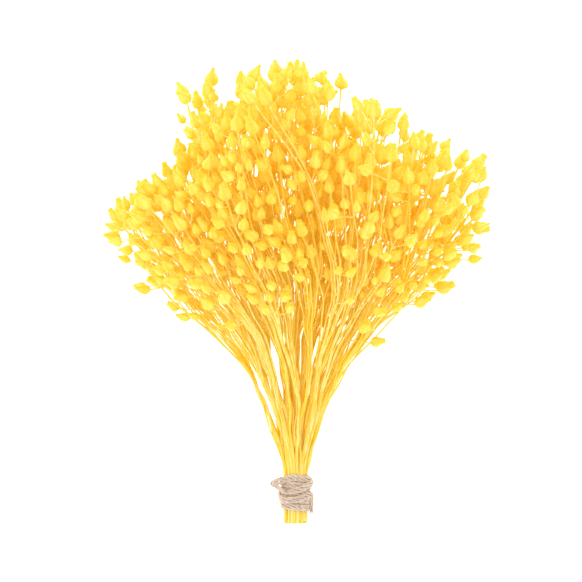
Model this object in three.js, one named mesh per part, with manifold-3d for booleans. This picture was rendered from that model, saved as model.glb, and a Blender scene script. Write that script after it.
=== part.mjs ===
// A bunch of dyed, preserved broom, lying on a table and tied with jute twine near its cut ends.
// Millimetres, +Z up. The cut ends point along -Y, and the stems open into a fan of seed heads
// along +Y. The frame's origin is under the middle of the bunch, on the table.

import * as THREE from 'three';
import { mergeVertices } from 'three/addons/utils/BufferGeometryUtils.js';
import Module from 'manifold-3d';

const wasm = await Module();
wasm.setup();

// ---------------------------------------------------------------- sizes that can be set

const SPRAYS = 56;                 // stems in the tie
const REACH = 175;                 // middle of the tie to the tip of the longest stem
const CUT_LENGTH = 4.5;            // bare stem left below the tie
const FAN_ANGLE = 32.8;            // degrees that the outermost stems lean to either side
const RISE_ANGLE = 25.5;           // degrees that the topmost stems rise above the table
const DROOP = 0.5;                 // how much lower the sides lie, as a share of half the rise
const ROUNDNESS = 0.9;             // 1 would curve the bunch's top right down to its sides
const OPENING_LENGTH = 90;         // distance above the tie over which the fan opens
const OPENING_POWER = 0.62;        // under 1, so the stems lean out most just above the tie
const TWIST_ANGLE = 44;            // degrees that the bunch is twisted, as when it was gathered
const SHORT_POWER = 1.5;           // over 1, so few stems are the shortest
const SWAY = 0.3;                  // a stem's own waviness, as a share of the pitch
const SWAY_WAVES = [0.5, 1.1];     // waves along a stem

const STEM_DIAMETER = 0.85;        // in the tie
const STEM_TIP_DIAMETER = 0.6;
const BRANCH_DIAMETER = 0.46;
const BRANCH_TIP_DIAMETER = 0.38;
const PEDICEL_DIAMETER = 0.34;
const POD_DIAMETER = 5.1;
const POD_LENGTH = 6.9;
const POD_SIZES = [0.88, 1.12];    // smallest and largest pod, as shares of those sizes
const CLEARANCE = 0.3;             // between neighbours in the tie, and round the twine
const LEAST_GAP = 0.25;            // anywhere, as stems that lean together draw a little nearer

const TWINE_DIAMETER = 1.6;
const TIE_TURNS = 4.6;             // turns in the layer against the stems
const TURN_GAP = 1.3;              // between one turn and the next
const BIGHT_REACH = 4.2;           // how far the loop at the side stands proud of the turns

const BRANCHES = 3;                // on each stem
const BRANCH_SPREAD = [0.1, 0.2];  // how far a branch leans away, as a share of the bunch
const SHORTEST_BRANCH = 20;
const PEDICEL_LENGTH = [4, 11];    // a side pod's own stalk
const PEDICEL_TILT = [0.45, 0.95]; // radians that it leans away from the stem
const PEDICEL_START = [0.1, 0.9];  // where it leaves the stem, between two of its knots
const SIDE_PODS = 1;               // pods beside the stem's own end pod

// The bunch's outline: place across the fan, from -1 at its -X side to 1 at its +X side, and share
// of the reach that the longest stems get to there. A few tall stems stand apart at -0.4.
const OUTLINE = [[-1, 0.79], [-0.46, 0.81], [-0.43, 1], [-0.38, 1], [-0.35, 0.82], [-0.29, 0.84],
  [-0.22, 1], [0.1, 1], [0.3, 0.95], [0.6, 0.88], [0.92, 0.86], [1, 0.8]];

// The shortest stems: place across the fan, and share of that length that they lose.
const SHORTEST = [[-1, 0.22], [0, 0.46], [0.6, 0.42], [1, 0.32]];

// ---------------------------------------------------------------- fineness of the solids

const STEM_KNOTS = 8;              // points along a stem above the tie
const BRANCH_KNOTS = 3;
const FIRST_FORK = 4;              // the knot where the lowest branch leaves its stem
const STALK_SIDES = 4;
const TWINE_SIDES = 8;
const TWINE_STEPS = 130;
const STEPS_PER_TURN = 16;
const TRIES = 24;                  // places tried for a branch or a pod before it is left out

// A pod's outline: share of its length, share of its radius.
const POD_OUTLINE = [[0.38, 1], [0.8, 0.3], [1, 0]];

// Where the twine leaves the stems for its loop, and where it passes over its first turns: degrees
// round the tie from +X towards +Z, and share of the way from the tie's middle to its last turn.
const BIGHT_START = 125;
const BIGHT_ANGLES = [134, 147, 155, 150];
const OVER_TURNS = [[133, 0.16], [100, 0.2], [65, 0.36], [30, 0.56], [-5, 0.7], [-40, 0.72],
  [-75, 0.6], [-110, 0.36], [-145, 0.08], [-180, -0.2], [-215, -0.34], [-250, -0.36],
  [-285, -0.26], [-320, -0.08], [-345, -0.1], [-352, -0.4], [-352, -0.7], [-348, -1]];

// ---------------------------------------------------------------- worked out

const GOLDEN_ANGLE = Math.PI * (3 - Math.sqrt(5));
const LATTICE_TURN = 0.33;        // radians, so that no row of stems lies level
const LATTICE_MIDDLE = [0.21, 0.13];
const stemPitch = STEM_DIAMETER + CLEARANCE;
const spots = packStems(SPRAYS);
const bundleRadius = stemPitch * spots[SPRAYS - 1].length();

const facet = Math.cos(Math.PI / STEPS_PER_TURN);
const innerTurn = (bundleRadius + STEM_DIAMETER / 2 + CLEARANCE + TWINE_DIAMETER / 2) / facet;
const outerTurn = innerTurn + (TWINE_DIAMETER + CLEARANCE) / facet;
const tieHeight = outerTurn + TWINE_DIAMETER / 2;
const tieRoom = TIE_TURNS * (TWINE_DIAMETER + TURN_GAP) / 2;  // middle of the tie to its last turn
const tieTop = tieRoom + TWINE_DIAMETER / 2;

// ---------------------------------------------------------------- chance, the same each time

function draw(...keys) {
  let mixed = 2166136261;
  for (const key of keys) {
    mixed = Math.imul(mixed ^ key, 16777619);
    mixed ^= mixed >>> 13;
    mixed = Math.imul(mixed, 0x5bd1e995);
    mixed ^= mixed >>> 15;
  }
  return (mixed >>> 0) / 2 ** 32;
}

function between(low, high, ...keys) {
  return low + (high - low) * draw(...keys);
}

// ---------------------------------------------------------------- where stems go

// The stems' places across the tie, in pitches: the places of a close-packed lattice that are
// nearest its middle.
function packStems(count) {
  const far = Math.ceil(Math.sqrt(count)) + 1;
  const places = [];
  for (let row = -far; row <= far; row++) {
    for (let column = -far; column <= far; column++) {
      const across = column + row / 2 - LATTICE_MIDDLE[0];
      const up = row * Math.sqrt(3) / 2 - LATTICE_MIDDLE[1];
      places.push(new THREE.Vector2(across, up).rotateAround(new THREE.Vector2(), LATTICE_TURN));
    }
  }
  places.sort((a, b) => a.length() - b.length());
  return places.slice(0, count);
}

function opened(above) {
  return Math.min(above / OPENING_LENGTH, 1) ** OPENING_POWER;
}

// The point of the bunch that is `along` from the middle of the tie, for a stem at `spot`, which
// is its place across the bunch, with 1 at the bunch's skin.
function place(along, spot) {
  const above = Math.max(along - tieTop, 0);
  const turned = spot.clone().rotateAround(new THREE.Vector2(),
    THREE.MathUtils.degToRad(TWIST_ANGLE) * above / REACH);
  const lean = THREE.MathUtils.degToRad(FAN_ANGLE) * turned.x * opened(above);
  const droop = DROOP * (1 - Math.sqrt(1 - ROUNDNESS * Math.min(turned.x ** 2, 1)));
  const share = (1 + turned.y - droop) / 2;
  const rise = THREE.MathUtils.degToRad(RISE_ANGLE) * share * opened(above);
  return new THREE.Vector3(
    bundleRadius * turned.x + above * Math.sin(lean),
    Math.min(along, tieTop) + above * Math.cos(lean) * Math.cos(rise),
    tieHeight + bundleRadius * turned.y + above * Math.sin(rise));
}

// Reads a table of places across the fan at the place where a stem ends up.
function readTable(table, spot) {
  const turned = spot.clone().rotateAround(new THREE.Vector2(),
    THREE.MathUtils.degToRad(TWIST_ANGLE));
  const across = THREE.MathUtils.clamp(turned.x, -1, 1);
  const next = Math.max(table.findIndex(([place]) => place >= across), 1);
  const [place, value] = table[next - 1];
  const [nextPlace, nextValue] = table[next];
  return THREE.MathUtils.mapLinear(across, place, nextPlace, value, nextValue);
}

// How far the longest stems get from the tie.
function longest(spot) {
  return (REACH - POD_LENGTH) * readTable(OUTLINE, spot);
}

// A stem's own slow sway, which starts at nothing at the tie.
function sway(along, spray) {
  const above = Math.max(along - tieTop, 0);
  const size = SWAY * stemPitch / bundleRadius * Math.min(above / (REACH / 2), 1);
  const wave = (axis) => Math.sin(2 * Math.PI * (draw(spray, 1, axis)
    + between(...SWAY_WAVES, spray, 2, axis) * above / REACH));
  return new THREE.Vector2(size * wave(0), size * wave(1));
}

// ---------------------------------------------------------------- growing without touching

// Everything grown so far, as straight round spans: { line, radius, stalk }.
const grown = [];

function isClear(span, ignored = null) {
  const lowest = Math.min(span.line.start.z, span.line.end.z) - span.radius;
  if (lowest < 0) return false;
  return grown.every((other) => {
    if (other.stalk === ignored) return true;
    const reach = span.radius + other.radius + LEAST_GAP;
    return span.line.distanceSqToLine3(other.line) > reach * reach;
  });
}

function spansOf(stalk) {
  return stalk.knots.slice(1).map((knot, i) => ({
    line: new THREE.Line3(stalk.knots[i], knot),
    radius: Math.max(stalk.radii[i], stalk.radii[i + 1]),
    stalk,
  }));
}

// The round span that holds a pod: from its base at the stalk's end, along its axis.
function podSpan(stalk) {
  const base = stalk.knots.at(-1);
  const radius = POD_DIAMETER / 2 * stalk.podSize;
  const length = POD_LENGTH * stalk.podSize;
  const at = (distance) => base.clone().addScaledVector(stalk.podAxis, distance);
  return { line: new THREE.Line3(at(radius), at(length - radius)), radius, stalk };
}

function taper(start, end, count) {
  return Array.from({ length: count }, (_, i) => THREE.MathUtils.lerp(start, end, i / (count - 1)));
}

function endAxis(knots) {
  return knots.at(-1).clone().sub(knots.at(-2)).normalize();
}

// A stem, from its cut end to its end pod. Shorter or longer ones are tried until it is clear.
function growStem(spray) {
  const spot = spots[spray].clone().multiplyScalar(1 / spots[SPRAYS - 1].length());
  let stem;
  for (let attempt = 0; attempt < TRIES; attempt++) {
    const loss = readTable(SHORTEST, spot) * draw(spray, 3, attempt) ** SHORT_POWER;
    const tip = longest(spot) * (1 - loss);
    const knots = [place(-tieTop - CUT_LENGTH, spot), place(-tieTop, spot)];
    for (let k = 0; k <= STEM_KNOTS; k++) {
      const along = THREE.MathUtils.lerp(tieTop, tip, k / STEM_KNOTS);
      knots.push(place(along, spot.clone().add(sway(along, spray))));
    }
    const radii = [STEM_DIAMETER / 2, STEM_DIAMETER / 2,
      ...taper(STEM_DIAMETER / 2, STEM_TIP_DIAMETER / 2, STEM_KNOTS + 1)];
    stem = { spray, spot, tip, knots, radii, podAxis: endAxis(knots),
      podSize: between(...POD_SIZES, spray, 4, attempt), side: [] };
    if ([...spansOf(stem), podSpan(stem)].every((span) => isClear(span))) break;
  }
  grown.push(...spansOf(stem), podSpan(stem));
  return stem;
}

// A branch leaves its stem at a knot and leans away from it, up to its own end pod.
function growBranch(stem, order) {
  const knot = FIRST_FORK + order;
  const start = stem.knots[knot];
  const from = THREE.MathUtils.lerp(tieTop, stem.tip, (knot - 2) / STEM_KNOTS);
  for (let attempt = 0; attempt < TRIES; attempt++) {
    const keys = [stem.spray, 10 + order, attempt];
    const turn = GOLDEN_ANGLE * order + between(0, 2 * Math.PI, ...keys, 0);
    const away = new THREE.Vector2(Math.cos(turn), Math.sin(turn))
      .multiplyScalar(between(...BRANCH_SPREAD, ...keys, 1));
    const end = stem.spot.clone().add(away);
    const loss = readTable(SHORTEST, end) * draw(...keys, 2);
    const tip = Math.max(longest(end) * (1 - loss), from + SHORTEST_BRANCH);
    const knots = [start];
    for (let k = 1; k <= BRANCH_KNOTS; k++) {
      const share = k / BRANCH_KNOTS;
      const along = THREE.MathUtils.lerp(from, tip, share);
      const spot = stem.spot.clone().add(sway(along, stem.spray)).addScaledVector(away, share);
      knots.push(place(along, spot.clampLength(0, 1)));
    }
    const branch = { spray: stem.spray, knots, podAxis: endAxis(knots),
      radii: taper(BRANCH_DIAMETER / 2, BRANCH_TIP_DIAMETER / 2, BRANCH_KNOTS + 1),
      podSize: between(...POD_SIZES, ...keys, 3) };
    const [first, ...rest] = spansOf(branch);
    if (isClear(first, stem) && [...rest, podSpan(branch)].every((span) => isClear(span))) {
      grown.push(first, ...rest, podSpan(branch));
      return branch;
    }
  }
  return null;
}

// A pod on its own short stalk, from a place between two knots near the stem's end.
function growSidePod(stem, order) {
  for (let attempt = 0; attempt < TRIES; attempt++) {
    const keys = [stem.spray, 40 + order, attempt];
    const from = stem.knots.length - 2 - order;
    const start = stem.knots[from].clone().lerp(stem.knots[from + 1],
      between(...PEDICEL_START, ...keys, 0));
    const forward = stem.knots[from + 1].clone().sub(stem.knots[from]).normalize();
    const turn = GOLDEN_ANGLE * order + between(0, 2 * Math.PI, ...keys, 1);
    const tilt = between(...PEDICEL_TILT, ...keys, 2);
    const side = new THREE.Vector3(1, 0, 0).cross(forward).normalize().applyAxisAngle(forward, turn);
    const axis = forward.multiplyScalar(Math.cos(tilt)).addScaledVector(side, Math.sin(tilt));
    const end = start.clone().addScaledVector(axis, between(...PEDICEL_LENGTH, ...keys, 3));
    const stalk = { spray: stem.spray, knots: [start, end], podAxis: axis,
      radii: [PEDICEL_DIAMETER / 2, PEDICEL_DIAMETER / 2],
      podSize: between(...POD_SIZES, ...keys, 4) };
    const [pedicel] = spansOf(stalk);
    if (isClear(pedicel, stem) && isClear(podSpan(stalk))) {
      grown.push(pedicel, podSpan(stalk));
      return stalk;
    }
  }
  return null;
}

function growBunch() {
  const stems = spots.map((_, spray) => growStem(spray));
  for (let order = 0; order < BRANCHES; order++) {
    for (const stem of stems) stem.side.push(growBranch(stem, order));
  }
  for (let order = 0; order < SIDE_PODS; order++) {
    for (const stem of stems) stem.side.push(growSidePod(stem, order));
  }
  for (const stem of stems) stem.side = stem.side.filter((stalk) => stalk);
  return stems;
}

// ---------------------------------------------------------------- solids

// A stalk and the pod on its end, turned as one profile on a lathe and then bent along its route.
function stalkGeometry(stalk) {
  const route = [...stalk.knots];
  const radii = [...stalk.radii];
  for (const [share, width] of POD_OUTLINE) {
    route.push(stalk.knots.at(-1).clone().addScaledVector(stalk.podAxis,
      POD_LENGTH * stalk.podSize * share));
    radii.push(POD_DIAMETER / 2 * stalk.podSize * width);
  }
  const profile = [new THREE.Vector2(0, 0), ...radii.map((radius, i) => new THREE.Vector2(radius, i))];
  const geometry = new THREE.LatheGeometry(profile, STALK_SIDES);
  const frames = route.map((point, i) => {
    const before = route[Math.max(i - 1, 0)];
    const after = route[Math.min(i + 1, route.length - 1)];
    const forward = after.clone().sub(before).normalize();
    const side = forward.clone().cross(new THREE.Vector3(0.3, 0, 1)).normalize();
    return new THREE.Matrix4().makeBasis(side, forward, side.clone().cross(forward))
      .setPosition(point);
  });
  const position = geometry.getAttribute('position');
  const vertex = new THREE.Vector3();
  for (let i = 0; i < position.count; i++) {
    vertex.fromBufferAttribute(position, i);
    const frame = frames[Math.round(vertex.y)];
    position.setXYZ(i, ...vertex.setY(0).applyMatrix4(frame));
  }
  return geometry;
}

function toSolid(geometry) {
  const bare = geometry.clone();
  bare.deleteAttribute('normal');
  bare.deleteAttribute('uv');
  const merged = mergeVertices(bare, 1e-4);
  return new wasm.Manifold(new wasm.Mesh({
    numProp: 3,
    vertProperties: new Float32Array(merged.getAttribute('position').array),
    triVerts: new Uint32Array(merged.getIndex().array),
  }));
}

function fromSolid(solid) {
  const { vertProperties, triVerts } = solid.getMesh();
  const geometry = new THREE.BufferGeometry();
  geometry.setAttribute('position', new THREE.BufferAttribute(vertProperties, 3));
  geometry.setIndex(new THREE.BufferAttribute(triVerts, 1));
  geometry.computeVertexNormals();
  return geometry;
}

// One whole spray: its stem, branches and pods grew as one piece.
function sprayGeometry(stem) {
  const whole = stem.side.reduce((joined, stalk) => joined.add(toSolid(stalkGeometry(stalk))),
    toSolid(stalkGeometry(stem)));
  return fromSolid(whole);
}

// A point of the twine: its place round the tie, distance from the tie's middle line, and distance
// along the stems.
function roundTie(degrees, radius, along) {
  const angle = THREE.MathUtils.degToRad(degrees);
  return new THREE.Vector3(radius * Math.cos(angle), along, tieHeight + radius * Math.sin(angle));
}

// The twine is one length: turns against the stems from the cut end upwards, a loop standing
// proud at the -X side, then two slanting turns over the first ones, and a short tail.
function twineGeometry() {
  const points = [];
  const steps = Math.round(TIE_TURNS * STEPS_PER_TURN);
  for (let step = 0; step < steps; step++) {
    const degrees = BIGHT_START - 360 * (steps - step) / STEPS_PER_TURN;
    points.push(roundTie(degrees, innerTurn, THREE.MathUtils.lerp(-tieRoom, tieRoom, step / steps)));
  }
  const proud = innerTurn + BIGHT_REACH;
  const [leaving, rising, topmost, falling] = BIGHT_ANGLES;
  points.push(
    roundTie(leaving, innerTurn + BIGHT_REACH / 5, tieRoom),
    roundTie(rising, proud - BIGHT_REACH / 4, tieRoom),
    roundTie(topmost, proud, tieRoom - TWINE_DIAMETER),
    roundTie(falling, proud - BIGHT_REACH / 4, tieRoom - 2 * TWINE_DIAMETER),
    ...OVER_TURNS.map(([degrees, share]) => roundTie(degrees, outerTurn, tieRoom * share)));
  const route = new THREE.CatmullRomCurve3(points);
  const section = new THREE.Shape();
  for (let side = 0; side < TWINE_SIDES; side++) {
    const angle = 2 * Math.PI * side / TWINE_SIDES;
    const corner = [TWINE_DIAMETER / 2 * Math.cos(angle), TWINE_DIAMETER / 2 * Math.sin(angle)];
    if (side === 0) section.moveTo(...corner);
    else section.lineTo(...corner);
  }
  section.closePath();
  return new THREE.ExtrudeGeometry(section, { steps: TWINE_STEPS, extrudePath: route });
}

// ---------------------------------------------------------------- the bunch

const dyedBroom = new THREE.MeshStandardMaterial({ color: 0xffd522, roughness: 0.7, metalness: 0 });
const juteTwine = new THREE.MeshStandardMaterial({ color: 0xd9b98e, roughness: 0.9, metalness: 0 });

function named(name, geometry, material) {
  const mesh = new THREE.Mesh(geometry, material);
  mesh.name = name;
  return mesh;
}

const bunch = new THREE.Group();
bunch.add(named('jute_twine', twineGeometry(), juteTwine));
growBunch().forEach((stem, i) => {
  const name = `spray_${String(i + 1).padStart(2, '0')}`;
  bunch.add(named(name, sprayGeometry(stem), dyedBroom));
});

// The origin is under the middle of the bunch's box, on the table.
const box = new THREE.Box3().setFromObject(bunch, true);
const middle = box.getCenter(new THREE.Vector3());
bunch.position.set(-middle.x, -middle.y, -box.min.z);

const group = new THREE.Group();
group.add(bunch);
export default group;
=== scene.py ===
import math

import bpy
import numpy as np
from mathutils import Matrix, Vector


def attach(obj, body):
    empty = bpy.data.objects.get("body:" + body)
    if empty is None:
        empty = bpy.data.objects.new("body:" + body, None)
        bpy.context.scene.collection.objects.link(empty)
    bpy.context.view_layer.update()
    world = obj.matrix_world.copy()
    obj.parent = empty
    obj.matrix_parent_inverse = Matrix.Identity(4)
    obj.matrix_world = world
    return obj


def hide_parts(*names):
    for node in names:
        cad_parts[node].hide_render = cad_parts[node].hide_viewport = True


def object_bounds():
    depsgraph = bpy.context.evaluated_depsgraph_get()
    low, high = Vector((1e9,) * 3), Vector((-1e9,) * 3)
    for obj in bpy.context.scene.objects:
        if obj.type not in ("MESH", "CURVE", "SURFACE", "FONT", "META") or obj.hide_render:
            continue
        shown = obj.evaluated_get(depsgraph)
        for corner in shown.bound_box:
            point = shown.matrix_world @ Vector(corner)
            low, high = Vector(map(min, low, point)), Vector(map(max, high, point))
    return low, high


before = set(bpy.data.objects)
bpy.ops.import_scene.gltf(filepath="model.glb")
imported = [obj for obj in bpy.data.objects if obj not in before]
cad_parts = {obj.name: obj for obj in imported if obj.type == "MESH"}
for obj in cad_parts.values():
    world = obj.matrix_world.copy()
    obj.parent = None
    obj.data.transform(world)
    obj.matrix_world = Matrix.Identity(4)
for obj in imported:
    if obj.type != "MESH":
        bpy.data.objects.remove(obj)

cad_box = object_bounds()
bpy.ops.object.select_all(action="DESELECT")

# ---------------------------------------------------------------- sizes, in millimetres
# The growth of the bunch repeats the one of the CAD model, so each spray lies where its solid does.

MM = 0.001

SPRAYS = 56
REACH = 175
CUT_LENGTH = 4.5
FAN_ANGLE = 32.8
RISE_ANGLE = 25.5
DROOP = 0.5
ROUNDNESS = 0.9
OPENING_LENGTH = 90
OPENING_POWER = 0.62
TWIST_ANGLE = 44
SHORT_POWER = 1.5
SWAY = 0.3
SWAY_WAVES = (0.5, 1.1)

STEM_DIAMETER = 0.85
STEM_TIP_DIAMETER = 0.6
BRANCH_DIAMETER = 0.46
BRANCH_TIP_DIAMETER = 0.38
PEDICEL_DIAMETER = 0.34
POD_DIAMETER = 5.1
POD_LENGTH = 6.9
POD_SIZES = (0.88, 1.12)
CLEARANCE = 0.3
LEAST_GAP = 0.25
MOST_SPANS = 12000

TWINE_DIAMETER = 1.6
TIE_TURNS = 4.6
TURN_GAP = 1.3
BIGHT_REACH = 4.2
BIGHT_START = 125
BIGHT_ANGLES = (134, 147, 155, 150)
OVER_TURNS = ((133, 0.16), (100, 0.2), (65, 0.36), (30, 0.56), (-5, 0.7), (-40, 0.72),
              (-75, 0.6), (-110, 0.36), (-145, 0.08), (-180, -0.2), (-215, -0.34), (-250, -0.36),
              (-285, -0.26), (-320, -0.08), (-345, -0.1), (-352, -0.4), (-352, -0.7), (-348, -1))
STEPS_PER_TURN = 16

BRANCHES = 3
BRANCH_SPREAD = (0.1, 0.2)
SHORTEST_BRANCH = 20
PEDICEL_LENGTH = (4, 11)
PEDICEL_TILT = (0.45, 0.95)
PEDICEL_START = (0.1, 0.9)
STEM_KNOTS = 8
BRANCH_KNOTS = 3
FIRST_FORK = 4
TRIES = 24
OUTLINE = ((-1, 0.79), (-0.46, 0.81), (-0.43, 1), (-0.38, 1), (-0.35, 0.82), (-0.29, 0.84),
           (-0.22, 1), (0.1, 1), (0.3, 0.95), (0.6, 0.88), (0.92, 0.86), (1, 0.8))
SHORTEST = ((-1, 0.22), (0, 0.46), (0.6, 0.42), (1, 0.32))

GOLDEN_ANGLE = math.pi * (3 - math.sqrt(5))
LATTICE_TURN = 0.33
LATTICE_MIDDLE = (0.21, 0.13)

# What the CAD model leaves out: the finer branches, the pods between its own, and the real
# thickness of a stem, which has no gap to its neighbours.
TWIGS = 4
TWIG_START = (0, 0.42)
PODS_ON_STEM = 4
PODS_ON_BRANCH = 2
CLUSTER = (0.5, 0.88)
EXTRA_PEDICEL = (3, 9.5)
EXTRA_CROWDING = 1.4
EXTRA_TILT = (0.5, 1.15)
EXTRA_UPTURN = (0.1, 1.1)
EXTRA_SIZES = (0.72, 1.1)
EXTRA_FULLNESS = 0.9
TWIG_GAP = -0.2
POD_GAP = 0.1
TABLE_GAP = 2.2

# How stalks look. A thickness runs from a stalk's foot to its tip.
STEM_THICKNESS = (1.18, 0.72)
BRANCH_THICKNESS = (0.72, 0.5)
PEDICEL_THICKNESS = (0.48, 0.38)
THICKNESS_SPREAD = (0.86, 1.12)
RIPPLE_SIZE = 0.06
RIPPLE_RATE = 37
RIPPLE_SHIFT = 6
FORK_SWELLING = 1.5
NECK_SWELLING = 1.6
RAGGED_CUT = 1.6
UPTURN_REACH = 6
CUT_FACING = -0.9
STALK_SIDES = 6
PATH_STEPS = 5
TWIG_STEPS = 8
TWIG_FOOT = 2
PEDICEL_STEPS = 4
SHARP_EDGE = 75

WANDER = 0.9
WANDER_LENGTHS = (38, 62)
WANDER_START = 15
WANDER_FADE = 70
WANDER_LEAST = 0.35
SECOND_WANDER = 0.3
SECOND_RATE = 3.3

# How pods look. A pod sinks a little over its stalk's end, and has a hollow at its mouth.
POD_SIDES = 10
POD_BREADTH = (0.94, 1.14)
POD_FLATNESS = (0.84, 1)
POD_STRETCH = (0.86, 1.04)
POD_SINK = 0.15
MOUTH_RIM = 0.35
MOUTH_DEPTH = 0.07
CREASE_REACH = 1.15
CREASE_ROUNDING = 0.6
OWN_SHADE = 0.55
SPRAY_SHADE = 0.35
LEAST_SHADE = 0.1

# How the twine looks: flattened plies that part at the frayed tail, with loose fibres.
TWINE_WIDTH = 2.8
TWINE_THICKNESS = 1.35
TWINE_PRESS = 0.1
TURN_SLACK = 1.2
OVER_HEIGHT = 0.6
BIGHT_PLACES = (0.9, 1.7, 2.6, 3.4)
ROUTE_STEPS = 9
TWINE_STEP = 0.45
FLATTENING = 0.25
PLIES = 5
PLY_RADIUS = 0.42
PLY_SIDES = 8
PLY_PITCH = 15.0
PLY_WOBBLE = 0.6
WOBBLE_RATE = 0.37
PLY_SWELL = 0.12
SWELL_RATE = 0.9
FRAY_LENGTH = 3.5
FRAY = 0.6
# Where the twine's painted shade begins towards the stems, and how deep it grows.
HOLLOW_START = 0.95
HOLLOW_DEPTH = 0.9

FIBRES = 700
FIBRE_ROOT = 0.48
FIBRE_LENGTHS = (0.8, 3.2)
FIBRE_RADII = (0.06, 0.025)
FIBRE_POINTS = 5
FIBRE_FOOT = -0.1
FIBRE_LEAN = (0.05, 0.5)
FIBRE_CURL = (-0.5, 0.6)
FIBRE_DRIFT = (-0.3, 0.3)
TAIL_FIBRES = 40
TAIL_LENGTHS = (1.5, 3.6)
TAIL_RADII = (0.07, 0.03)
TAIL_POINTS = 4
TAIL_BACK = (0, 2.5)
TAIL_ASIDE = (-0.8, 0.8)
TAIL_FAN = (-0.5, 0.5)
TAIL_RISE = (-0.3, 0.5)
TAIL_CURL = (-0.12, 0.12)
FIBRE_SIDES = 4
FIBRE_LOWEST = 0.1

# The middle of the view, from the middle of the tie, and the camera's lens and sensor.
VIEW_MIDDLE = (-1.9, 80.9, 0)
LENS = 200
SENSOR = 36

# The room round the bunch, and how wide the view is at the bunch's middle height, in metres.
FLOOR_SIZE = 6
LAMP_PLACE = (-0.35, 0.45, 1.3)
LAMP_SIZE = 1.1
LAMP_ENERGY = 3
VIEW_WIDTH = 0.227
SUBJECT_HEIGHT = 0.04
FARTHEST = 20


# ---------------------------------------------------------------- chance, the same each time

def draw(*keys):
    """A share from 0 to 1 that depends only on its keys: a spray, a purpose and a try."""
    mixed = 2166136261
    for key in keys:
        mixed = (mixed ^ key) * 16777619 & 0xFFFFFFFF
        mixed ^= mixed >> 13
        mixed = mixed * 0x5BD1E995 & 0xFFFFFFFF
        mixed ^= mixed >> 15
    return mixed / 2 ** 32


def between(low, high, *keys):
    return low + (high - low) * draw(*keys)


# ---------------------------------------------------------------- where stems go

def lerp(start, end, share):
    return (1 - share) * start + share * end


def unit(vector):
    return vector / np.linalg.norm(vector)


def rotated(spot, angle):
    c, s = math.cos(angle), math.sin(angle)
    return np.array([spot[0] * c - spot[1] * s, spot[0] * s + spot[1] * c])


def pack_stems(count):
    """The stems' places across the tie: those of a close-packed lattice nearest its middle."""
    far = math.ceil(math.sqrt(count)) + 1
    places = []
    for row in range(-far, far + 1):
        for column in range(-far, far + 1):
            across = column + row / 2 - LATTICE_MIDDLE[0]
            up = row * math.sqrt(3) / 2 - LATTICE_MIDDLE[1]
            places.append(rotated((across, up), LATTICE_TURN))
    places.sort(key=lambda place: math.hypot(*place))
    return places[:count]


stem_pitch = STEM_DIAMETER + CLEARANCE
spots = pack_stems(SPRAYS)
skin = math.hypot(*spots[-1])
bundle_radius = stem_pitch * skin
facet = math.cos(math.pi / STEPS_PER_TURN)
inner_turn = (bundle_radius + STEM_DIAMETER / 2 + CLEARANCE + TWINE_DIAMETER / 2) / facet
outer_turn = inner_turn + (TWINE_DIAMETER + CLEARANCE) / facet
tie_height = outer_turn + TWINE_DIAMETER / 2
tie_room = TIE_TURNS * (TWINE_DIAMETER + TURN_GAP) / 2
tie_top = tie_room + TWINE_DIAMETER / 2


def opened(above):
    return min(above / OPENING_LENGTH, 1) ** OPENING_POWER


def place(along, spot):
    """The point of the bunch that is `along` from the tie's middle, at a spot across the bunch."""
    above = max(along - tie_top, 0)
    across, up = rotated(spot, math.radians(TWIST_ANGLE) * above / REACH)
    lean = math.radians(FAN_ANGLE) * across * opened(above)
    droop = DROOP * (1 - math.sqrt(1 - ROUNDNESS * min(across ** 2, 1)))
    rise = math.radians(RISE_ANGLE) * ((1 + up - droop) / 2) * opened(above)
    return np.array([
        bundle_radius * across + above * math.sin(lean),
        min(along, tie_top) + above * math.cos(lean) * math.cos(rise),
        tie_height + bundle_radius * up + above * math.sin(rise)])


def read_table(table, spot):
    """Reads a table of places across the fan at the place where a stem ends up."""
    return np.interp(rotated(spot, math.radians(TWIST_ANGLE))[0], *zip(*table))


def longest(spot):
    return (REACH - POD_LENGTH) * read_table(OUTLINE, spot)


def sway(along, spray):
    above = max(along - tie_top, 0)
    size = SWAY * stem_pitch / bundle_radius * min(above / (REACH / 2), 1)
    return np.array([size * math.sin(2 * math.pi * (
        draw(spray, 1, axis) + between(*SWAY_WAVES, spray, 2, axis) * above / REACH))
        for axis in (0, 1)])


# ---------------------------------------------------------------- growing without touching

class Room:
    """Everything grown so far, as straight round spans that new growth keeps clear of."""

    def __init__(self, most):
        self.starts = np.zeros((most, 3))
        self.ends = np.zeros((most, 3))
        self.radii = np.zeros(most)
        self.owners = np.zeros(most, int)
        self.count = 0

    def take(self, spans, owner):
        for start, end, radius in spans:
            self.starts[self.count] = start
            self.ends[self.count] = end
            self.radii[self.count] = radius
            self.owners[self.count] = owner
            self.count += 1

    def is_clear(self, span, ignored=0, gap=LEAST_GAP):
        start, end, radius = span
        if min(start[2], end[2]) - radius < 0:
            return False
        near = self.distances(start, end)
        reach = radius + self.radii[:self.count] + gap
        return bool(np.all((near > reach * reach) | (self.owners[:self.count] == ignored)))

    def distances(self, start, end):
        """The squared distance from one straight line to each of the others."""
        starts = self.starts[:self.count]
        run = end - start
        runs = self.ends[:self.count] - starts
        offset = start - starts
        a = run @ run
        e = np.einsum("ij,ij->i", runs, runs)
        f = np.einsum("ij,ij->i", runs, offset)
        c = offset @ run
        b = runs @ run
        slant = a * e - b * b
        crossed = slant != 0
        s = np.where(crossed, np.clip((b * f - c * e) / np.where(crossed, slant, 1), 0, 1), 0)
        t = (b * s + f) / e
        s = np.where(t < 0, np.clip(-c / a, 0, 1), np.where(t > 1, np.clip((b - c) / a, 0, 1), s))
        apart = start + s[:, None] * run - starts - np.clip(t, 0, 1)[:, None] * runs
        return np.einsum("ij,ij->i", apart, apart)


room = Room(MOST_SPANS)


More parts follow.
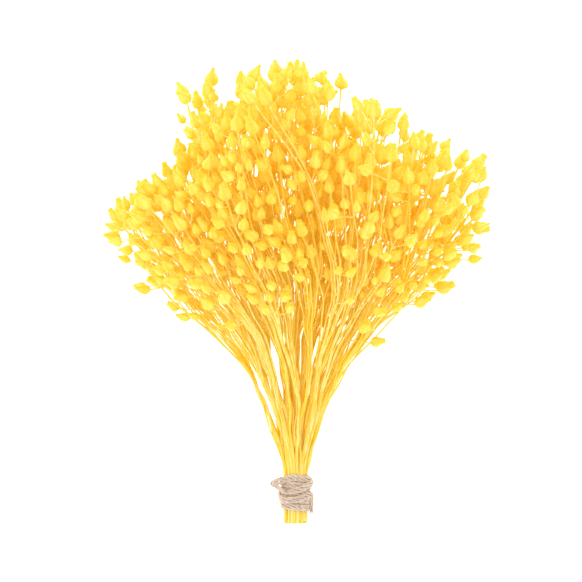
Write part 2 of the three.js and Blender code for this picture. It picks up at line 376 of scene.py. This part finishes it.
class Stalk:
    """A stem, a branch or a pedicel, with the pod on its end."""

    def __init__(self, spray, knots, radii, axis, pod_size, kind):
        self.spray = spray
        self.knots = knots
        self.radii = radii
        self.axis = axis
        self.pod_size = pod_size
        self.kind = kind
        self.before = None
        self.path = None

    def spans(self):
        return [(self.knots[i], self.knots[i + 1], max(self.radii[i], self.radii[i + 1]))
                for i in range(len(self.knots) - 1)]

    def pod_span(self, fullness=1.0):
        radius = POD_DIAMETER / 2 * self.pod_size
        base = self.knots[-1]
        return (base + self.axis * radius,
                base + self.axis * (POD_LENGTH * self.pod_size - radius), radius * fullness)


def taper(start, end, count):
    return [lerp(start, end, i / (count - 1)) for i in range(count)]


def grow_stem(spray):
    spot = spots[spray] * (1 / skin)
    for attempt in range(TRIES):
        tip = longest(spot) * (1 - read_table(SHORTEST, spot)
                               * draw(spray, 3, attempt) ** SHORT_POWER)
        knots = [place(-tie_top - CUT_LENGTH, spot), place(-tie_top, spot)]
        for k in range(STEM_KNOTS + 1):
            along = lerp(tie_top, tip, k / STEM_KNOTS)
            knots.append(place(along, spot + sway(along, spray)))
        radii = [STEM_DIAMETER / 2] * 2 + taper(STEM_DIAMETER / 2, STEM_TIP_DIAMETER / 2,
                                                STEM_KNOTS + 1)
        stem = Stalk(spray, knots, radii, unit(knots[-1] - knots[-2]),
                     between(*POD_SIZES, spray, 4, attempt), "stem")
        if all(room.is_clear(span) for span in [*stem.spans(), stem.pod_span()]):
            break
    room.take([*stem.spans(), stem.pod_span()], spray + 1)
    stem.spot = spot
    stem.tip = tip
    return stem


def branch_from(stem, start, from_tie, turn, keys):
    """A branch that leans away from its stem, up to its own end pod."""
    away = np.array([math.cos(turn), math.sin(turn)]) * between(*BRANCH_SPREAD, *keys, 1)
    end = stem.spot + away
    loss = read_table(SHORTEST, end) * draw(*keys, 2)
    tip = max(longest(end) * (1 - loss), from_tie + SHORTEST_BRANCH)
    knots = [start]
    for k in range(1, BRANCH_KNOTS + 1):
        share = k / BRANCH_KNOTS
        along = lerp(from_tie, tip, share)
        spot = stem.spot + sway(along, stem.spray) + away * share
        length = math.hypot(*spot)
        knots.append(place(along, spot / length * min(length, 1)))
    return Stalk(stem.spray, knots,
                 taper(BRANCH_DIAMETER / 2, BRANCH_TIP_DIAMETER / 2, BRANCH_KNOTS + 1),
                 unit(knots[-1] - knots[-2]), between(*POD_SIZES, *keys, 3), "branch")


def grow_branch(stem, order):
    knot = FIRST_FORK + order
    from_tie = lerp(tie_top, stem.tip, (knot - 2) / STEM_KNOTS)
    for attempt in range(TRIES):
        keys = (stem.spray, 10 + order, attempt)
        turn = GOLDEN_ANGLE * order + between(0, 2 * math.pi, *keys, 0)
        branch = branch_from(stem, stem.knots[knot], from_tie, turn, keys)
        first, *rest = branch.spans()
        if room.is_clear(first, ignored=stem.spray + 1) and all(
                room.is_clear(span) for span in [*rest, branch.pod_span()]):
            room.take([first, *rest, branch.pod_span()], -1)
            branch.before = stem.knots[knot - 1]
            return branch
    return None


def in_box(stalk):
    """Whether a pod lies inside the CAD model's box, a little above the table."""
    pod = np.array([stalk.knots[-1], stalk.knots[-1] + stalk.axis * POD_LENGTH * stalk.pod_size])
    return bool(np.all(pod > inside_low) and np.all(pod < inside_high))


def grow_twig(stem, order):
    """A finer branch that forks low, and may brush past others."""
    for attempt in range(TRIES):
        keys = (stem.spray, 30 + order, attempt)
        at = int(between(*TWIG_START, *keys, 4) * (len(stem.path) - 1))
        from_tie = lerp(tie_top, stem.tip, at / (len(stem.path) - 1))
        turn = between(0, 2 * math.pi, *keys, 0)
        twig = branch_from(stem, stem.path[at], from_tie, turn, keys)
        rest = twig.spans()[1:]
        if (in_box(twig) and all(room.is_clear(span, gap=TWIG_GAP) for span in rest)
                and room.is_clear(twig.pod_span(), gap=POD_GAP)):
            room.take([*rest, twig.pod_span()], -1)
            twig.before = stem.path[max(at - TWIG_FOOT, 0)]
            twig.path = smooth(twig.knots, TWIG_STEPS, before=twig.before)
            return twig
    return None


def turned_about(vector, axis, angle):
    return (vector * math.cos(angle) + np.cross(axis, vector) * math.sin(angle)
            + axis * (axis @ vector) * (1 - math.cos(angle)))


def grow_side_pod(stem):
    for attempt in range(TRIES):
        keys = (stem.spray, 40, attempt)
        low, high = stem.knots[-2:]
        start = low + (high - low) * between(*PEDICEL_START, *keys, 0)
        forward = unit(high - low)
        tilt = between(*PEDICEL_TILT, *keys, 2)
        side = turned_about(unit(np.cross((1, 0, 0), forward)), forward,
                            between(0, 2 * math.pi, *keys, 1))
        axis = forward * math.cos(tilt) + side * math.sin(tilt)
        end = start + axis * between(*PEDICEL_LENGTH, *keys, 3)
        stalk = Stalk(stem.spray, [start, end], [PEDICEL_DIAMETER / 2] * 2, axis,
                      between(*POD_SIZES, *keys, 4), "pedicel")
        if (room.is_clear(stalk.spans()[0], ignored=stem.spray + 1)
                and room.is_clear(stalk.pod_span())):
            room.take([*stalk.spans(), stalk.pod_span()], -1)
            stalk.before = start - forward
            return stalk
    return None


def grow_extra_pod(parent, keys, lowest):
    """A pod beside a stem or a branch, which leans out and then turns up along it."""
    path = parent.path
    for attempt in range(TRIES):
        keys_now = (*keys, attempt)
        share = lerp(1, lowest, draw(*keys_now, 0) ** EXTRA_CROWDING)
        at = min(int(share * (len(path) - 1)), len(path) - 2)
        start = path[at]
        forward = unit(path[at + 1] - path[at])
        tilt = between(*EXTRA_TILT, *keys_now, 2)
        side = turned_about(unit(np.cross((1, 0, 0), forward)), forward,
                            between(0, 2 * math.pi, *keys_now, 1))
        out = forward * math.cos(tilt) + side * math.sin(tilt)
        end = start + out * between(*EXTRA_PEDICEL, *keys_now, 3)
        axis = unit(out + forward * between(*EXTRA_UPTURN, *keys_now, 5))
        stalk = Stalk(parent.spray, [start, end], [PEDICEL_DIAMETER / 2] * 2, axis,
                      between(*EXTRA_SIZES, *keys_now, 4), "pedicel")
        pod = stalk.pod_span(EXTRA_FULLNESS)
        if in_box(stalk) and room.is_clear(pod, gap=POD_GAP):
            room.take([pod], -1)
            stalk.before = start - forward
            return stalk
    return None


def smooth(points, steps, before=None, after=None):
    """A smooth path through the points, with `steps` lengths to each gap between them."""
    points = np.asarray(points)
    first = 2 * points[0] - points[1] if before is None else before
    last = 2 * points[-1] - points[-2] if after is None else after
    held = np.vstack([first, points, last])
    path = []
    for i in range(1, len(held) - 2):
        p0, p1, p2, p3 = held[i - 1:i + 3]
        for step in range(steps):
            t = step / steps
            path.append(0.5 * (2 * p1 + (p2 - p0) * t + (2 * p0 - 5 * p1 + 4 * p2 - p3) * t ** 2
                               + (3 * p1 - p0 - 3 * p2 + p3) * t ** 3))
    path.append(held[-2])
    return np.array(path)


# The frame's origin isn't the tie's middle, and the cut end of the first spray says where that is.
ends = np.array([v.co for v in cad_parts["spray_01"].data.vertices]) / MM
low_end = ends[ends[:, 1] < ends[:, 1].min() + 0.05]
origin = (low_end.min(axis=0) + low_end.max(axis=0)) / 2
origin -= place(-tie_top - CUT_LENGTH, spots[0] * (1 / skin))
inside_low = np.array(cad_box[0]) / MM - origin + (0, 0, TABLE_GAP)
inside_high = np.array(cad_box[1]) / MM - origin


def wander(points, spray):
    """Moves a spray's points a little to the side, so its stem isn't quite straight."""
    points = np.array(points)
    above = np.maximum(points[..., 1] - tie_top, 0)
    size = (WANDER * np.clip(above / WANDER_START, 0, 1)
            * np.clip(2 - above / WANDER_FADE, WANDER_LEAST, 1))
    for axis in (0, 2):
        waves = above / between(*WANDER_LENGTHS, spray, 205, axis) + draw(spray, 204, axis)
        points[..., axis] += size * (np.sin(2 * math.pi * waves)
                                     + SECOND_WANDER
                                     * np.sin(2 * math.pi * SECOND_RATE * waves))
    return points


def grow_bunch():
    """Each stem with all that grows on it."""
    stems = [grow_stem(spray) for spray in range(SPRAYS)]
    sprays = [[stem] for stem in stems]
    for order in range(BRANCHES):
        for stem, spray in zip(stems, sprays):
            spray.append(grow_branch(stem, order))
    for stem, spray in zip(stems, sprays):
        spray.append(grow_side_pod(stem))
    sprays = [[stalk for stalk in spray if stalk] for spray in sprays]
    for spray in sprays:
        for stalk in spray:
            if stalk.kind == "stem":
                stalk.path = smooth(stalk.knots[2:], PATH_STEPS, before=stalk.knots[1])
            elif stalk.kind == "branch":
                stalk.path = smooth(stalk.knots, PATH_STEPS, before=stalk.before)
    for order in range(TWIGS):
        for stem, spray in zip(stems, sprays):
            twig = grow_twig(stem, order)
            if twig:
                spray.append(twig)
    for order in range(2 * PODS_ON_STEM + 1):
        for number, spray in enumerate(sprays):
            carriers = [stalk for stalk in spray if stalk.path is not None]
            for place_on, stalk in enumerate(carriers):
                usual = PODS_ON_STEM if stalk.kind == "stem" else PODS_ON_BRANCH
                if order < int(between(0, 2 * usual + 1, number, 50, place_on)):
                    extra = grow_extra_pod(stalk, (number, 60 + order, place_on),
                                           between(*CLUSTER, number, 51, place_on))
                    if extra:
                        spray.append(extra)
    for number, spray in enumerate(sprays):
        for stalk in spray:
            stalk.knots = wander(stalk.knots, number)
            if stalk.before is not None:
                stalk.before = wander(stalk.before, number)
            if stalk.path is not None:
                stalk.path = wander(stalk.path, number)
    return sprays


# ---------------------------------------------------------------- shader maths

class Wire:
    """A socket of a material's nodes. Adding or multiplying adds a Math node."""

    def __init__(self, finish, socket):
        self.finish = finish
        self.socket = socket

    def __add__(self, other):
        return self.finish.node("ShaderNodeMath", {"operation": "ADD"}, {0: self, 1: other})

    def __mul__(self, other):
        return self.finish.node("ShaderNodeMath", {"operation": "MULTIPLY"}, {0: self, 1: other})

    __radd__ = __add__
    __rmul__ = __mul__


class Finish:
    """A material under construction."""

    def __init__(self, name):
        self.material = bpy.data.materials.new(name)
        self.material.use_nodes = True
        self.nodes = self.material.node_tree.nodes
        self.links = self.material.node_tree.links
        self.shader = self.nodes["Principled BSDF"]

    def join(self, value, socket):
        if isinstance(value, Wire):
            self.links.new(value.socket, socket)
        else:
            socket.default_value = value

    def node(self, kind, settings, sockets, output=0):
        """A node of that kind: its settings first, then its sockets by place or by name."""
        made = self.nodes.new(kind)
        for name, value in settings.items():
            if name == "stops":
                ramp = made.color_ramp
                while len(ramp.elements) < len(value):
                    ramp.elements.new(1)
                for element, (position, colour) in zip(ramp.elements, value):
                    element.position = position
                    element.color = (*colour, 1)
            else:
                setattr(made, name, value)
        for key, value in sockets.items():
            self.join(value, made.inputs[key])
        return Wire(self, made.outputs[output])

    def noise(self, stretch=(1, 1, 1), size=1, detail=3, roughness=0.5, output="Object"):
        where = self.node("ShaderNodeTexCoord", {}, {}, output)
        mapped = self.node("ShaderNodeMapping", {}, {"Vector": where, "Scale": stretch})
        return self.node("ShaderNodeTexNoise", {}, {"Vector": mapped, "Scale": size,
                                                    "Detail": detail, "Roughness": roughness})

    def value_of(self, name):
        return self.node("ShaderNodeAttribute", {"attribute_name": name}, {}, "Fac")

    def range(self, value, low, high, to_low, to_high):
        return self.node("ShaderNodeMapRange", {},
                         {0: value, 1: low, 2: high, 3: to_low, 4: to_high})

    def ramp(self, value, *stops):
        return self.node("ShaderNodeValToRGB", {"stops": stops}, {0: value})

    def mix(self, share, first, second):
        return self.node("ShaderNodeMix", {"data_type": "RGBA"},
                         {0: share, 6: first, 7: second}, 2)

    def bump(self, height, distance, strength):
        return self.node("ShaderNodeBump", {}, {"Height": height, "Distance": distance,
                                                "Strength": strength})

    def set(self, **sockets):
        for name, value in sockets.items():
            self.join(value, self.shader.inputs[name.replace("_", " ")])
        return self.material


def pod_finish():
    """Papery skin of a dyed seed pod: lemon on the ridges, with painted shade in the creases and a
    faint painted glow; golden at the tip.
    """
    made = Finish("dyed_pod_skin")
    tint = made.value_of("tint")
    height = made.value_of("height")
    crease = made.value_of("crease")
    mottle = made.noise(size=900, detail=4)
    wrinkle = made.noise(size=2600, roughness=0.6)
    own = made.ramp(tint, (0.0, (1.0, 0.66, 0.03)), (0.5, (1.0, 0.76, 0.06)),
                    (1.0, (0.99, 0.84, 0.13)))
    worn = made.mix(made.range(mottle, 0.42, 0.72, 0, 0.6), own, (1.0, 0.89, 0.36, 1))
    # Painted shade: the creases between the lobes turn golden orange, standing in for the shade
    # that falls in them.
    crease_shaded = made.mix(crease * made.range(mottle, 0.3, 0.7, 0.4, 0.7), worn, (1.0, 0.59, 0.01, 1))
    skin_colour = made.mix(made.range(height, 0.7, 1.0, 0, 0.45), crease_shaded, (1.0, 0.6, 0.02, 1))
    rough = made.range(mottle, 0.3, 0.7, 0.5, 0.72)
    relief = made.bump(mottle + wrinkle * 0.4, 0.0004, 0.7)
    # Painted glow: the pods' emission lifts their shadows, standing in for light let through the
    # thin skin; they are no lamp.
    return made.set(Base_Color=skin_colour, Roughness=rough, Normal=relief, Subsurface_Weight=0.3,
                    Subsurface_Radius=(1.0, 0.7, 0.1), Subsurface_Scale=0.0018,
                    Specular_IOR_Level=0.4, Emission_Color=(1, 0.47, 0.01, 1),
                    Emission_Strength=0.1)


def stalk_finish():
    """Smooth dyed stem with fine grain along it, and a faint painted glow."""
    made = Finish("dyed_stem")
    tint = made.value_of("tint")
    grain = made.noise((3.2, 0.16, 3.2), size=1100)
    patch = made.noise((1, 0.35, 1), size=120, detail=2)
    strand = made.noise((1, 0.05, 1), size=650, detail=1)
    own = made.ramp(tint, (0.0, (0.98, 0.69, 0.05)), (0.5, (1.0, 0.8, 0.14)),
                    (1.0, (0.99, 0.87, 0.28)))
    patched = made.mix(made.range(patch, 0.4, 0.68, 0, 0.5), own, (1.0, 0.9, 0.4, 1))
    deeper = made.mix(made.range(strand, 0.42, 0.6, 0, 0.75), patched, (0.96, 0.65, 0.03, 1))
    grained = made.mix(made.range(grain, 0.5, 0.75, 0, 0.4), deeper, (0.95, 0.54, 0.02, 1))
    # Painted glow: the stems' emission lifts their shadows; they are no lamp.
    return made.set(Base_Color=grained, Roughness=made.range(grain, 0.3, 0.7, 0.42, 0.6),
                    Normal=made.bump(grain, 0.0001, 0.5), Subsurface_Weight=0.1,
                    Subsurface_Radius=(1.0, 0.6, 0.15), Subsurface_Scale=0.0008,
                    Emission_Color=(1, 0.54, 0.02, 1), Emission_Strength=0.08)


def pith_finish():
    """Cut end of a stem: pale pith inside a yellow rind."""
    made = Finish("stem_pith")
    speck = made.noise(size=4200)
    colour = made.ramp(speck, (0.35, (0.94, 0.6, 0.12)), (0.6, (1.0, 0.82, 0.42)))
    return made.set(Base_Color=colour, Roughness=0.85, Normal=made.bump(speck, 0.00015, 0.7))


def jute_finish():
    """Dry bast fibres laid along each ply, with painted shade on the twine's inner side, towards
    the stems and between the plies.
    """
    made = Finish("jute_fibre")
    strand = made.noise((170, 9, 1), detail=5, roughness=0.65, output="UV")
    patch = made.noise(size=420)
    hollow = made.value_of("hollow")
    own = made.ramp(strand, (0.3, (0.36, 0.25, 0.17)), (0.42, (0.66, 0.51, 0.38)),
                    (0.55, (0.84, 0.69, 0.55)), (0.72, (0.98, 0.87, 0.74)))
    patched = made.mix(made.range(patch, 0.42, 0.66, 0, 0.5), own, (0.91, 0.73, 0.65, 1))
    # Painted shade: the twine darkens towards the stems, where shade falls between the plies.
    shaded = made.mix(hollow * 0.35, patched, (0.36, 0.25, 0.16, 1))
    return made.set(Base_Color=shaded, Roughness=made.range(strand, 0.3, 0.7, 0.95, 0.75),
                    Normal=made.bump(strand, 0.00035, 0.9))


def hair_finish():
    """Single loose fibres, paler than the twine they stand off."""
    made = Finish("jute_hair")
    patch = made.noise(size=900, detail=2)
    colour = made.ramp(patch, (0.35, (0.5, 0.38, 0.26)), (0.65, (0.82, 0.7, 0.56)))
    return made.set(Base_Color=colour, Roughness=0.8)


# ---------------------------------------------------------------- making the pieces

def select_only(*things):
    bpy.ops.object.select_all(action="DESELECT")
    for thing in things:
        thing.select_set(True)
    bpy.context.view_layer.objects.active = things[0]


def round_lines(name, lines, sides, finish):
    """One mesh of round stalks or threads. Each line is a list of points and one of radii."""
    bpy.ops.curve.primitive_nurbs_path_add()
    threads = bpy.context.object
    threads.name = name
    threads.data.splines.clear()
    for points, radii in lines:
        spline = threads.data.splines.new("POLY")
        spline.points.add(len(points) - 1)
        held = np.ones((len(points), 4))
        held[:, :3] = (np.asarray(points) + origin) * MM
        spline.points.foreach_set("co", held.ravel())
        spline.points.foreach_set("radius", np.asarray(radii, float))
    threads.data.bevel_depth = MM
    threads.data.bevel_resolution = (sides - 4) // 2
    threads.data.use_fill_caps = True
    threads.data.materials.append(finish)
    select_only(threads)
    bpy.ops.object.convert(target="MESH")
    return bpy.context.object


def write_values(piece, name, values):
    stored = piece.data.attributes.new(name, "FLOAT", "POINT")
    stored.data.foreach_set("value", values)


def is_crease(x, y):
    """Whether a place round a pod is on one of its edges between two lobes."""
    return round(math.atan2(y, x) / (2 * math.pi) * POD_SIDES) % 2 == 1


def pod_pattern(name, rings, crease_depth, kink, finish):
    """A seed pod of unit length and radius that stands on the origin, drawn out ring by ring.

    Rings are shares of its length and of its widest radius. Every second edge is pushed in to
    make five lobes, and the beak is pushed sideways by the kink.
    """
    bpy.ops.mesh.primitive_circle_add(vertices=POD_SIDES, radius=rings[0][1], fill_type="NGON")
    pod = bpy.context.object
    pod.name = name
    bpy.ops.object.mode_set(mode="EDIT")
    bpy.ops.mesh.select_all(action="SELECT")
    for (low, narrow), (high, wide) in zip(rings, rings[1:]):
        bpy.ops.mesh.extrude_region_move(
            TRANSFORM_OT_translate={"value": (kink * (high - low) * high ** 2, 0, high - low)})
        bpy.ops.transform.resize(value=(wide / narrow, wide / narrow, 1))
    bpy.ops.mesh.inset(thickness=rings[-1][1] * MOUTH_RIM)
    bpy.ops.transform.translate(value=(0, 0, -MOUTH_DEPTH))
    bpy.ops.mesh.select_all(action="SELECT")
    bpy.ops.mesh.normals_make_consistent(inside=False)
    bpy.ops.object.mode_set(mode="OBJECT")
    heights, creases = [], []
    for vertex in pod.data.vertices:
        point = vertex.co
        share = min(max(point.z, 0), 1)
        creased = is_crease(point.x - kink * share ** 3 / 3, point.y)
        full = math.sin(math.pi * min(share * CREASE_REACH, 1)) ** CREASE_ROUNDING
        if creased:
            point.x *= 1 - crease_depth * full
            point.y *= 1 - crease_depth * full
        heights.append(share)
        creases.append(float(creased))
    write_values(pod, "height", heights)
    # The crease mask marks where the skin gets its painted shade.
    write_values(pod, "crease", creases)
    bpy.ops.object.shade_smooth()
    pod.data.materials.append(finish)
    return pod


def pod_matrix(stalk, keys):
    """Where a pod goes: on its stalk's end, turned about its own axis, a little flattened."""
    axis = Vector(stalk.axis)
    side = axis.cross(Vector((0.3, 0.1, 1))).normalized()
    basis = Matrix((side, axis.cross(side), axis)).transposed().to_4x4()
    roll = Matrix.Rotation(between(0, 2 * math.pi, *keys, 1), 4, "Z")
    width = POD_DIAMETER / 2 * stalk.pod_size * between(*POD_BREADTH, *keys, 2)
    size = Matrix.Diagonal((width, width * between(*POD_FLATNESS, *keys, 3),
                            POD_LENGTH * stalk.pod_size * between(*POD_STRETCH, *keys, 4), 1))
    base = stalk.knots[-1] - stalk.axis * POD_SINK + origin
    return Matrix.Scale(MM, 4) @ Matrix.Translation(Vector(base)) @ basis @ roll @ size


def stalk_line(stalk):
    """The points and radii of a stalk as it looks: smooth, tapered, swollen where it forks."""
    if stalk.kind == "stem":
        cut = stalk.knots[0] + np.array([0, RAGGED_CUT * draw(stalk.spray, 200) ** 2, 0])
        path = np.vstack([[cut, stalk.knots[1]], stalk.path])
        thick, thin = STEM_THICKNESS
    elif stalk.kind == "branch":
        path = stalk.path
        thick, thin = BRANCH_THICKNESS
    else:
        low, high = stalk.knots
        path = smooth(stalk.knots, PEDICEL_STEPS, before=stalk.before - (high - low) * 0.5,
                      after=high + stalk.axis * UPTURN_REACH)
        thick, thin = PEDICEL_THICKNESS
    shares = np.linspace(0, 1, len(path))
    radii = lerp(thick, thin, shares) / 2
    radii *= between(*THICKNESS_SPREAD, stalk.spray, 203) + RIPPLE_SIZE * np.sin(
        shares * RIPPLE_RATE + RIPPLE_SHIFT * draw(stalk.spray, 201))
    if stalk.kind != "stem":
        radii[0] *= FORK_SWELLING
    radii[-1] *= NECK_SWELLING
    return path, radii


def make_spray(number, stalks, patterns, finishes):
    """One spray as one piece: its stalks, and a copy of one of the pod patterns on each end."""
    name = f"broom_spray_{number + 1:02d}"
    lines = [stalk_line(stalk) for stalk in stalks]
    spray = round_lines(name, lines, STALK_SIDES, finishes["stem"])
    spray.data.materials.append(finishes["pith"])
    cut = (origin[1] - tie_top) * MM
    for face in spray.data.polygons:
        if face.normal.y < CUT_FACING and face.center.y < cut:
            face.material_index = 1
    tint = draw(number, 202)
    write_values(spray, "tint", [tint] * len(spray.data.vertices))
    pods = []
    for order, stalk in enumerate(stalks):
        keys = (number, 210, order)
        pattern = patterns[int(draw(*keys, 0) * len(patterns))]
        pod = pattern.copy()
        pod.data = pattern.data.copy()
        pod.data.transform(pod_matrix(stalk, keys))
        bpy.context.collection.objects.link(pod)
        shade = OWN_SHADE * draw(*keys, 5) + SPRAY_SHADE * tint + LEAST_SHADE
        write_values(pod, "tint", [shade] * len(pod.data.vertices))
        pods.append(pod)
    select_only(spray, *pods)
    bpy.ops.object.join()
    bpy.ops.object.shade_smooth_by_angle(angle=math.radians(SHARP_EDGE))
    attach(spray, "root")
    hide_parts(f"spray_{number + 1:02d}")


# ---------------------------------------------------------------- twine

def hug(degrees, tight, loose):
    """A radius that is tight over the top and the sides, and loose below, where the tie rests."""
    below = max(-math.sin(math.radians(degrees)), 0) ** 2
    return lerp(tight, loose, below)


def round_tie(degrees, radius, along):
    angle = math.radians(degrees)
    return np.array([radius * math.cos(angle), along, tie_height + radius * math.sin(angle)])


def twine_route():
    """Turns against the stems, a loop at the side, slanting turns over them, and a short tail."""
    under = bundle_radius + STEM_THICKNESS[0] / 2 + TWINE_THICKNESS / 2 - TWINE_PRESS
    outer = under + TWINE_THICKNESS * OVER_HEIGHT
    lowest = tie_height - TWINE_THICKNESS / 2 - TWINE_PRESS
    points = []
    steps = round(TIE_TURNS * STEPS_PER_TURN)
    for step in range(steps):
        degrees = BIGHT_START - 360 * (steps - step) / STEPS_PER_TURN
        points.append(round_tie(degrees, hug(degrees, under, lowest - TURN_SLACK),
                                lerp(-tie_room, tie_room, step / steps)))
    proud = inner_turn + BIGHT_REACH
    near_end = proud - BIGHT_REACH / 4
    reaches = (under + BIGHT_REACH / 5, near_end, proud, near_end)
    points += [round_tie(degrees, reach, tie_room - below)
               for degrees, reach, below in zip(BIGHT_ANGLES, reaches, BIGHT_PLACES)]
    points += [round_tie(degrees, hug(degrees, outer, lowest), tie_room * share)
               for degrees, share in OVER_TURNS]
    return smooth(points, ROUTE_STEPS)


def even_steps(path, gap):
    """The path in equal steps, and the length from its start to each of them."""
    lengths = np.concatenate([[0], np.cumsum(np.linalg.norm(np.diff(path, axis=0), axis=1))])
    wanted = np.linspace(0, lengths[-1], int(lengths[-1] / gap) + 1)
    points = np.column_stack([np.interp(wanted, lengths, path[:, axis]) for axis in range(3)])
    return points, wanted


def twine_frames(path):
    """The direction, the flat side and the outward side of the twine at each point."""
    forward = np.gradient(path, axis=0)
    forward /= np.linalg.norm(forward, axis=1)[:, None]
    along = np.array([0.0, 1.0, 0.0])
    flat = along
    frames = []
    for heading in forward:
        carried = flat - heading * (flat @ heading)
        wanted = along - heading * heading[1]
        flat = unit(unit(carried) + FLATTENING * wanted * (1 - abs(heading[1])))
        flat = unit(flat - heading * (flat @ heading))
        frames.append((heading, flat, np.cross(heading, flat)))
    return frames


def ply_lines(path, lengths, frames):
    """The plies, which turn round the twine's middle and part where its tail is frayed."""
    plies = []
    for ply in range(PLIES):
        points, radii = [], []
        for point, length, (_, flat, outward) in zip(path, lengths, frames):
            loose = max(1 - (lengths[-1] - length) / FRAY_LENGTH, 0)
            turn = (2 * math.pi * (ply / PLIES + length / PLY_PITCH)
                    + PLY_WOBBLE * math.sin(length * WOBBLE_RATE))
            spread = 1 + FRAY * loose
            swell = 1 + PLY_SWELL * math.sin(length * SWELL_RATE + ply * 2)
            wide = (TWINE_WIDTH / 2 - PLY_RADIUS) * spread * math.cos(turn)
            high = (TWINE_THICKNESS / 2 - PLY_RADIUS) * spread * math.sin(turn)
            points.append(point + flat * wide + outward * high)
            radii.append(PLY_RADIUS * swell * (1 - FRAY * loose))
        plies.append((points, radii))
    return plies


def fibre_lines(path, frames):
    """Loose fibres along the twine and at its frayed tail, without those that reach the table."""
    chance = np.random.default_rng(7)
    fibres = []
    for _ in range(FIBRES):
        at = int(chance.integers(2, len(path) - 2))
        heading, flat, outward = frames[at]
        around = chance.uniform(0, 2 * math.pi)
        away = flat * math.cos(around) + outward * math.sin(around)
        root = (path[at] + flat * (TWINE_WIDTH * FIBRE_ROOT * math.cos(around))
                + outward * (TWINE_THICKNESS * FIBRE_ROOT * math.sin(around)))
        way = heading * chance.choice((-1, 1)) + away * chance.uniform(*FIBRE_LEAN)
        length = chance.uniform(*FIBRE_LENGTHS)
        bend = away * chance.uniform(*FIBRE_CURL) + flat * chance.uniform(*FIBRE_DRIFT)
        points = [root + unit(way) * length * share + bend * length * share ** 2
                  for share in np.linspace(FIBRE_FOOT, 1, FIBRE_POINTS)]
        fibres.append((points, np.linspace(*FIBRE_RADII, FIBRE_POINTS)))
    heading, flat, outward = frames[-1]
    for _ in range(TAIL_FIBRES):
        root = (path[-1] - heading * chance.uniform(*TAIL_BACK)
                + flat * chance.uniform(*TAIL_ASIDE))
        way = (heading + flat * chance.uniform(*TAIL_FAN)
               + outward * chance.uniform(*TAIL_RISE))
        length = chance.uniform(*TAIL_LENGTHS)
        points = [root + unit(way) * length * share
                  + outward * length * chance.uniform(*TAIL_CURL) * share ** 2
                  for share in np.linspace(0, 1, TAIL_POINTS)]
        fibres.append((points, np.linspace(*TAIL_RADII, TAIL_POINTS)))
    return [fibre for fibre in fibres if min(point[2] for point in fibre[0]) > FIBRE_LOWEST]


def make_twine():
    """The twine as two pieces: its plies, and the loose fibres that stand off them."""
    path, lengths = even_steps(twine_route(), TWINE_STEP)
    frames = twine_frames(path)
    twine = round_lines("twine_plies", ply_lines(path, lengths, frames), PLY_SIDES, jute_finish())
    # How far each point lies in towards the stems, for the painted shade on the twine's inner side.
    places = np.array([v.co for v in twine.data.vertices]) / MM - origin
    across = np.hypot(places[:, 0], places[:, 2] - tie_height)
    deepest = bundle_radius + STEM_THICKNESS[0] / 2 + HOLLOW_START
    write_values(twine, "hollow", np.clip((deepest - across) / HOLLOW_DEPTH, 0, 1))
    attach(twine, "root")
    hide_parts("jute_twine")

    hairs = round_lines("twine_hairs", fibre_lines(path, frames), FIBRE_SIDES, hair_finish())
    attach(hairs, "root")


# ---------------------------------------------------------------- the bunch

# Each shape of pod: its rings, the depth of its creases and its kink.
POD_SHAPES = {
    "pod_round": (((0, 0.16), (0.06, 0.55), (0.18, 0.9), (0.36, 1), (0.57, 0.87), (0.79, 0.48),
                   (1, 0.33)), 0.15, 0.3),
    "pod_slim": (((0, 0.14), (0.07, 0.44), (0.2, 0.74), (0.4, 0.86), (0.62, 0.7), (0.82, 0.36),
                  (1, 0.22)), 0.18, 0.5),
    "pod_open": (((0, 0.17), (0.07, 0.55), (0.2, 0.92), (0.38, 1), (0.6, 0.82), (0.8, 0.54),
                  (1, 0.52)), 0.17, 0.2),
    "pod_beaked": (((0, 0.15), (0.06, 0.52), (0.17, 0.9), (0.33, 1), (0.53, 0.84), (0.74, 0.42),
                    (1, 0.2)), 0.15, 0.9),
}

finishes = {"stem": stalk_finish(), "pod": pod_finish(), "pith": pith_finish()}
patterns = [pod_pattern(name, *shape, finishes["pod"]) for name, shape in POD_SHAPES.items()]
for number, stalks in enumerate(grow_bunch()):
    make_spray(number, stalks, patterns, finishes)
for pattern in patterns:
    bpy.data.objects.remove(pattern)
make_twine()


# ---------------------------------------------------------------- floor, light and camera

def make_floor():
    """A pale table, wide enough to fill every view."""
    bpy.ops.mesh.primitive_plane_add(size=FLOOR_SIZE, location=(0, 0, 0))
    floor = bpy.context.object
    floor.name = "floor"
    pale = Finish("pale_floor")
    grain = pale.noise(size=40, detail=2)
    colour = pale.ramp(grain, (0.3, (0.93, 0.93, 0.93)), (0.7, (0.96, 0.96, 0.96)))
    floor.data.materials.append(pale.set(Base_Color=colour, Roughness=0.9,
                                         Emission_Color=(1, 1, 1, 1), Emission_Strength=0.8))


def make_light():
    """Even light from all round, and one soft lamp from the upper left."""
    world = bpy.data.worlds.new("soft_room")
    bpy.context.scene.world = world
    world.use_nodes = True
    sky = world.node_tree.nodes["Background"]
    sky.inputs["Color"].default_value = (1, 1, 1, 1)
    sky.inputs["Strength"].default_value = 1
    bpy.ops.object.light_add(type="AREA", location=LAMP_PLACE)
    lamp = bpy.context.object
    lamp.rotation_euler = (-Vector(LAMP_PLACE)).to_track_quat("-Z", "Y").to_euler()
    lamp.data.size = LAMP_SIZE
    lamp.data.energy = LAMP_ENERGY


def make_camera():
    """A long lens that looks straight down on the bunch, aimed from the middle of the tie."""
    distance = VIEW_WIDTH * LENS / SENSOR
    middle = (Vector(origin) + Vector(VIEW_MIDDLE)) * MM
    bpy.ops.object.camera_add(location=(middle.x, middle.y, SUBJECT_HEIGHT + distance),
                              rotation=(0, 0, 0))
    camera = bpy.context.object
    camera.data.lens = LENS
    camera.data.sensor_width = SENSOR
    camera.data.clip_end = FARTHEST
    bpy.context.scene.camera = camera


make_floor()
make_light()
make_camera()
bpy.context.scene.view_settings.view_transform = "Standard"
